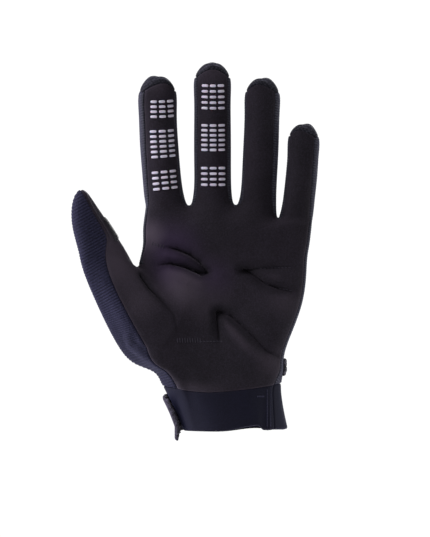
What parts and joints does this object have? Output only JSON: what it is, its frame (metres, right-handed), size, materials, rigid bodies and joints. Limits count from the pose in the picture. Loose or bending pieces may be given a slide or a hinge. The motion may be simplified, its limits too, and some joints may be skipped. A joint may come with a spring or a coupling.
{
  "type": "motocross glove",
  "caption": "Left-hand motocross glove: leather palm, ribbed knit finger sides and thumb gusset, short neoprene cuff with a hook-and-loop strap, silicone finger grips.",
  "frame": {"origin": "centre of the cuff's mouth, in the plane of its hem", "axes": "+Z from the cuff to the fingertips, -Y out of the palm, +X towards the little finger, so the thumb points to -X"},
  "size_m": [0.1479, 0.0549, 0.2282],
  "materials": {
    "palm_leather": "matte microfibre leather, purple sheen",
    "side_knit": "ribbed polyester knit",
    "back_knit": "matte stretch knit",
    "gusset_knit": "ribbed navy knit",
    "neoprene": "matte fabric-faced neoprene",
    "strap_webbing": "matte laminated strap",
    "hook_tape": "hook tape",
    "guard_rubber": "satin moulded rubber",
    "grip_silicone": "satin printed silicone"
  },
  "bodies": {
    "root": {"palm_panel": "palm_leather", "thumb_panel": "palm_leather", "index_side_strip": "side_knit", "fourchette_index_middle": "side_knit", "fourchette_middle_ring": "side_knit", "fourchette_ring_little": "side_knit", "little_side_strip": "side_knit", "back_panel": "back_knit", "thumb_back": "back_knit", "thumb_gusset": "gusset_knit", "cuff_front": "neoprene", "cuff_back": "neoprene", "strap": "strap_webbing", "strap_anchor": "strap_webbing", "strap_hook_pad": "hook_tape", "thumb_guard": "guard_rubber", "grip_index_1": "grip_silicone", "grip_index_2": "grip_silicone", "grip_index_3": "grip_silicone", "grip_middle_1": "grip_silicone", "grip_middle_2": "grip_silicone", "grip_middle_3": "grip_silicone"}
  },
  "joints": []
}
